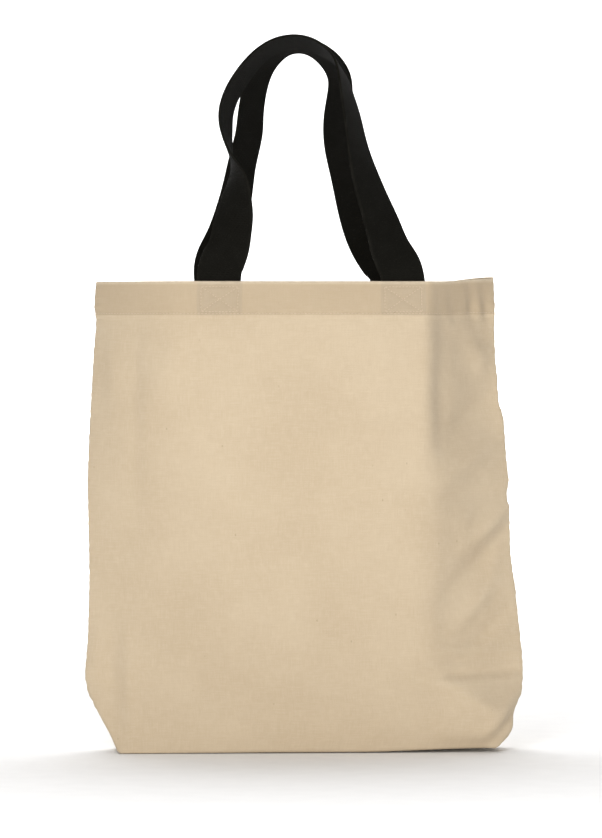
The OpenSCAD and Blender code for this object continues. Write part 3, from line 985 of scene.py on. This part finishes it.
def handle_frame(route, back):
    """Evenly spaced middle line of a handle, with the ways across and out of the webbing."""
    rows = with_sewn_ends(route, back)
    knots = along(rows[:, :3])
    line = through(knots, rows, np.linspace(0, knots[-1], ROUTE_STEPS))
    line = smoothed(line, knots[-1] / ROUTE_STEPS * MM)
    line[:, :3] *= MM
    place = along(line[:, :3])
    at = np.linspace(0, place[-1], int(place[-1] / (RIB_PITCH / 4)) + 1)
    line = rows_at(at, place, line)
    points = line[:, :3] * [1, -1, 1]
    way = unit(np.gradient(points, axis=0))
    turn = np.radians(np.maximum(line[:, 3], 0))
    outward = unit(np.stack([-way[:, 2], 0 * turn, way[:, 0]], axis=1))
    out = np.cos(turn)[:, None] * [0, -1, 0] + outward * np.sin(turn)[:, None]
    out = unit(out - way * (out * way).sum(1)[:, None])
    across = np.cross(way, out)
    level = ease(share(points[:, 2], HINGE_Z + 22 * MM, HINGE_Z - 4 * MM))[:, None]
    flat = np.stack([np.sign(across[:, 0]), 0 * turn, 0 * turn], axis=1)
    across = unit(mix(across, flat, level))
    out = unit(np.cross(across, way))
    return (rows * [1, -1 if back else 1, 1] for rows in (points, across, out))


def webbing_ring():
    """Half the outline of the webbing's section: places across it and half its thickness."""
    flat = STRAP_W / 2 - 0.9 * MM
    side = STRAP_W / 2 - 0.3 * MM
    across = np.concatenate([[-side], np.linspace(-flat, flat, 13), [side]])
    rounding = np.maximum(np.abs(across) - flat, 0) / (STRAP_W / 2 - flat)
    half = (STRAP_T - RIB_H) / 2 * np.sqrt(1 - 0.75 * rounding ** 2)
    selvedge = 1 + 0.12 * bump(np.abs(across) - flat + 0.4 * MM, 1.0 * MM)
    return across, half * selvedge


def handle(side_name, route, back):
    """A handle: one length of ribbed webbing from sewn end to sewn end."""
    points, across, out = handle_frame(route, back)
    length = along(points)
    places, half = webbing_ring()
    rib = np.abs(np.sin(math.pi * length / RIB_PITCH)) ** 0.8
    weave_edge = 1 - ease(share(np.abs(places), STRAP_W / 2 - 1.6 * MM, STRAP_W / 2))
    sway = 0.35 * MM * np.sin(length / (37 * MM) + 2 * back) * share(points[:, 2], BAG_H, SWAY_Z)
    cup = 0.55 * MM * (1 - (places / (STRAP_W / 2)) ** 2)
    bowed = share(points[:, 2], BAG_H + 10 * MM, BAG_H + 60 * MM)
    rings = []
    for side in (1, -1):
        thick = half + RIB_H * (rib[:, None] - 0.5) * weave_edge
        high = side * thick + cup * bowed[:, None] + sway[:, None]
        ring = points[:, None] + across[:, None] * places[:, None] + out[:, None] * high[..., None]
        rings.append(ring if side == 1 else ring[:, ::-1])
    tip = STRAP_W / 2
    tips = [(points + across * x + out * sway[:, None])[:, None] for x in (tip, -tip)]
    ring = np.concatenate([rings[0], tips[0], rings[1], tips[1]], axis=1)
    faces = tube_faces(*ring.shape[:2])
    width = np.concatenate([places, [tip], places[::-1], [-tip]])
    uvs = np.stack(np.broadcast_arrays(length[:, None], width), axis=-1).reshape(-1, 2)
    name = f"{side_name}_webbing"
    nodes = [f"{side_name}_{part}" for part in ("handle", "left_handle_end", "right_handle_end")]
    made = piece(name, ring.reshape(-1, 3), faces, uvs, WEBBING, nodes, body=None)
    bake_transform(made)


# ---------------- putting it together
def build():
    for back, side in ((0, "front"), (1, "back")):
        wall = panel(f"{side}_canvas", back, [f"{side}_panel"])
        hem = hem_ply(f"{side}_hem_turning", back, [f"{side}_hem"])
        row = hem_stitches(f"{side}_hem_stitch_row", back, [f"{side}_hem_stitching"])
        for leg, hand in ((LEFT_LEG_X, "left"), (RIGHT_LEG_X, "right")):
            cross_stitches(f"{side}_{hand}_box_cross", leg, back, [f"{side}_{hand}_cross_stitch"])
    floor_cloth = base_cloth()
    for right, hand in ((0, "left"), (1, "right")):
        lie = side_seam_frame(right)
        seam_strip(f"{hand}_seam_allowance", *lie, [f"{hand}_side_seam"])
        overlock(f"{hand}_overlock", *lie, [f"{hand}_side_overlock"])
    base_seams()
    handle("front", FRONT_ROUTE, 0)
    handle("back", BACK_ROUTE, 1)


def base_seams():
    """Allowances that lie on the base, along its four edges."""
    z = CLOTH_T + GAP + 2.3 * MM
    edge_x, edge_y = BASE_X - 3.4 * MM, BASE_Y - 3.4 * MM
    inner_y = edge_y - SEAM_W - 1.5 * MM
    x = np.linspace(-edge_x, edge_x - 2 * MM, 110)
    y = np.linspace(-inner_y, inner_y, 14)
    for place, xs, ys, inward in (
        ("front_base", x, -edge_y, (0, 1, 0.12)), ("back_base", x, edge_y, (0, -1, 0.12)),
        ("left_base_end", -edge_x, y, (1, 0, 0.12)), ("right_base_end", edge_x, y, (-1, 0, 0.12)),
    ):
        path = np.stack(np.broadcast_arrays(xs, ys, z), axis=1)
        across, up = (np.tile(way, (len(path), 1)) for way in (inward, (0.0, 0.0, 1.0)))
        seam_strip(f"{place}_allowance", lift_corner(path), across, up, [f"{place}_seam"])


build()


# ---------------- floor, light, camera
# The floor's near edge, the backdrop's place, height and half width, and the curve between
FLOOR_NEAR, BACKDROP_Y, BACKDROP_TOP, BACKDROP_HALF, CURVE_R = -7.0, 6.8, 4.5, 7.0, 1.2
FLOOR_DROP = 0.4 * MM


def pale_stage():
    """A pale floor that curves up into a backdrop."""
    arc = np.linspace(0, math.pi / 2, 24)
    y = np.concatenate([[FLOOR_NEAR], BACKDROP_Y - CURVE_R + CURVE_R * np.sin(arc), [BACKDROP_Y]])
    z = np.concatenate([[0], CURVE_R - CURVE_R * np.cos(arc), [BACKDROP_TOP]]) - FLOOR_DROP
    points = [(x, b, c) for b, c in zip(y, z) for x in (-BACKDROP_HALF, BACKDROP_HALF)]
    mesh = bpy.data.meshes.new("ground")
    mesh.from_pydata(points, [], grid_faces(len(y), 2).tolist())
    mesh.shade_smooth()
    tree = Tree("pale_floor")
    place = tree.add("TexCoord", out=3)
    speckle = tree.noise(place, 40.0, 4.0)
    colour = tree.blend(tree.span(speckle, 0.3, 0.7), (0.86, 0.86, 0.86, 1), (0.88, 0.88, 0.88, 1))
    mesh.materials.append(tree.finish(Base_Color=colour, Roughness=0.9, Specular_IOR_Level=0.1))
    ground = bpy.data.objects.new("ground", mesh)
    bpy.context.scene.collection.objects.link(ground)


# Name, place, aim, width and height, and power in watts of each lamp
LAMPS = [
    ("key", (-0.42, -1.62, 0.90), (0, 0, 0.2), (0.5, 0.4), 14.4),
    ("fill", (0.5, -2.0, 0.22), (0.05, 0, 0.05), (1.2, 0.3), 5.5),
    ("low_fill", (0.22, -0.9, 0.10), (0.06, 0, 0.02), (0.55, 0.15), 1.25),
    ("back_wash", (0, 3.4, 3.6), (0, 6.2, 0.9), (4.0, 1.6), 360),
    ("floor_wash", (0, 2.0, 3.4), (0, 2.4, 0), (5.0, 3.0), 145),
]
WORLD_LIGHT = 0.315


def aimed(made, place, aim):
    """Puts a lamp or the camera in its place, and turns it to what it looks at."""
    bpy.context.scene.collection.objects.link(made)
    made.location = place
    made.rotation_mode = "QUATERNION"
    made.rotation_quaternion = (Vector(aim) - Vector(place)).to_track_quat("-Z", "Y")
    return made


def studio():
    world = bpy.data.worlds.new("studio")
    world.use_nodes = True
    sky = world.node_tree.nodes["Background"].inputs
    sky["Color"].default_value = (1, 1, 1, 1)
    sky["Strength"].default_value = WORLD_LIGHT
    bpy.context.scene.world = world
    bpy.context.scene.view_settings.view_transform = "Standard"
    for name, place, aim, size, power in LAMPS:
        light = bpy.data.lights.new(name, "AREA")
        light.shape = "RECTANGLE"
        light.size, light.size_y = size
        light.energy = power
        aimed(bpy.data.objects.new(name, light), place, aim)


def camera():
    lens = bpy.data.cameras.new("camera")
    lens.lens = LENS
    x, y = CAMERA_AWAY * math.sin(CAMERA_AZIMUTH), -CAMERA_AWAY * math.cos(CAMERA_AZIMUTH)
    bpy.context.scene.camera = aimed(bpy.data.objects.new("camera", lens), (x, y, CAMERA_Z), LOOK_AT)


pale_stage()
studio()
camera()
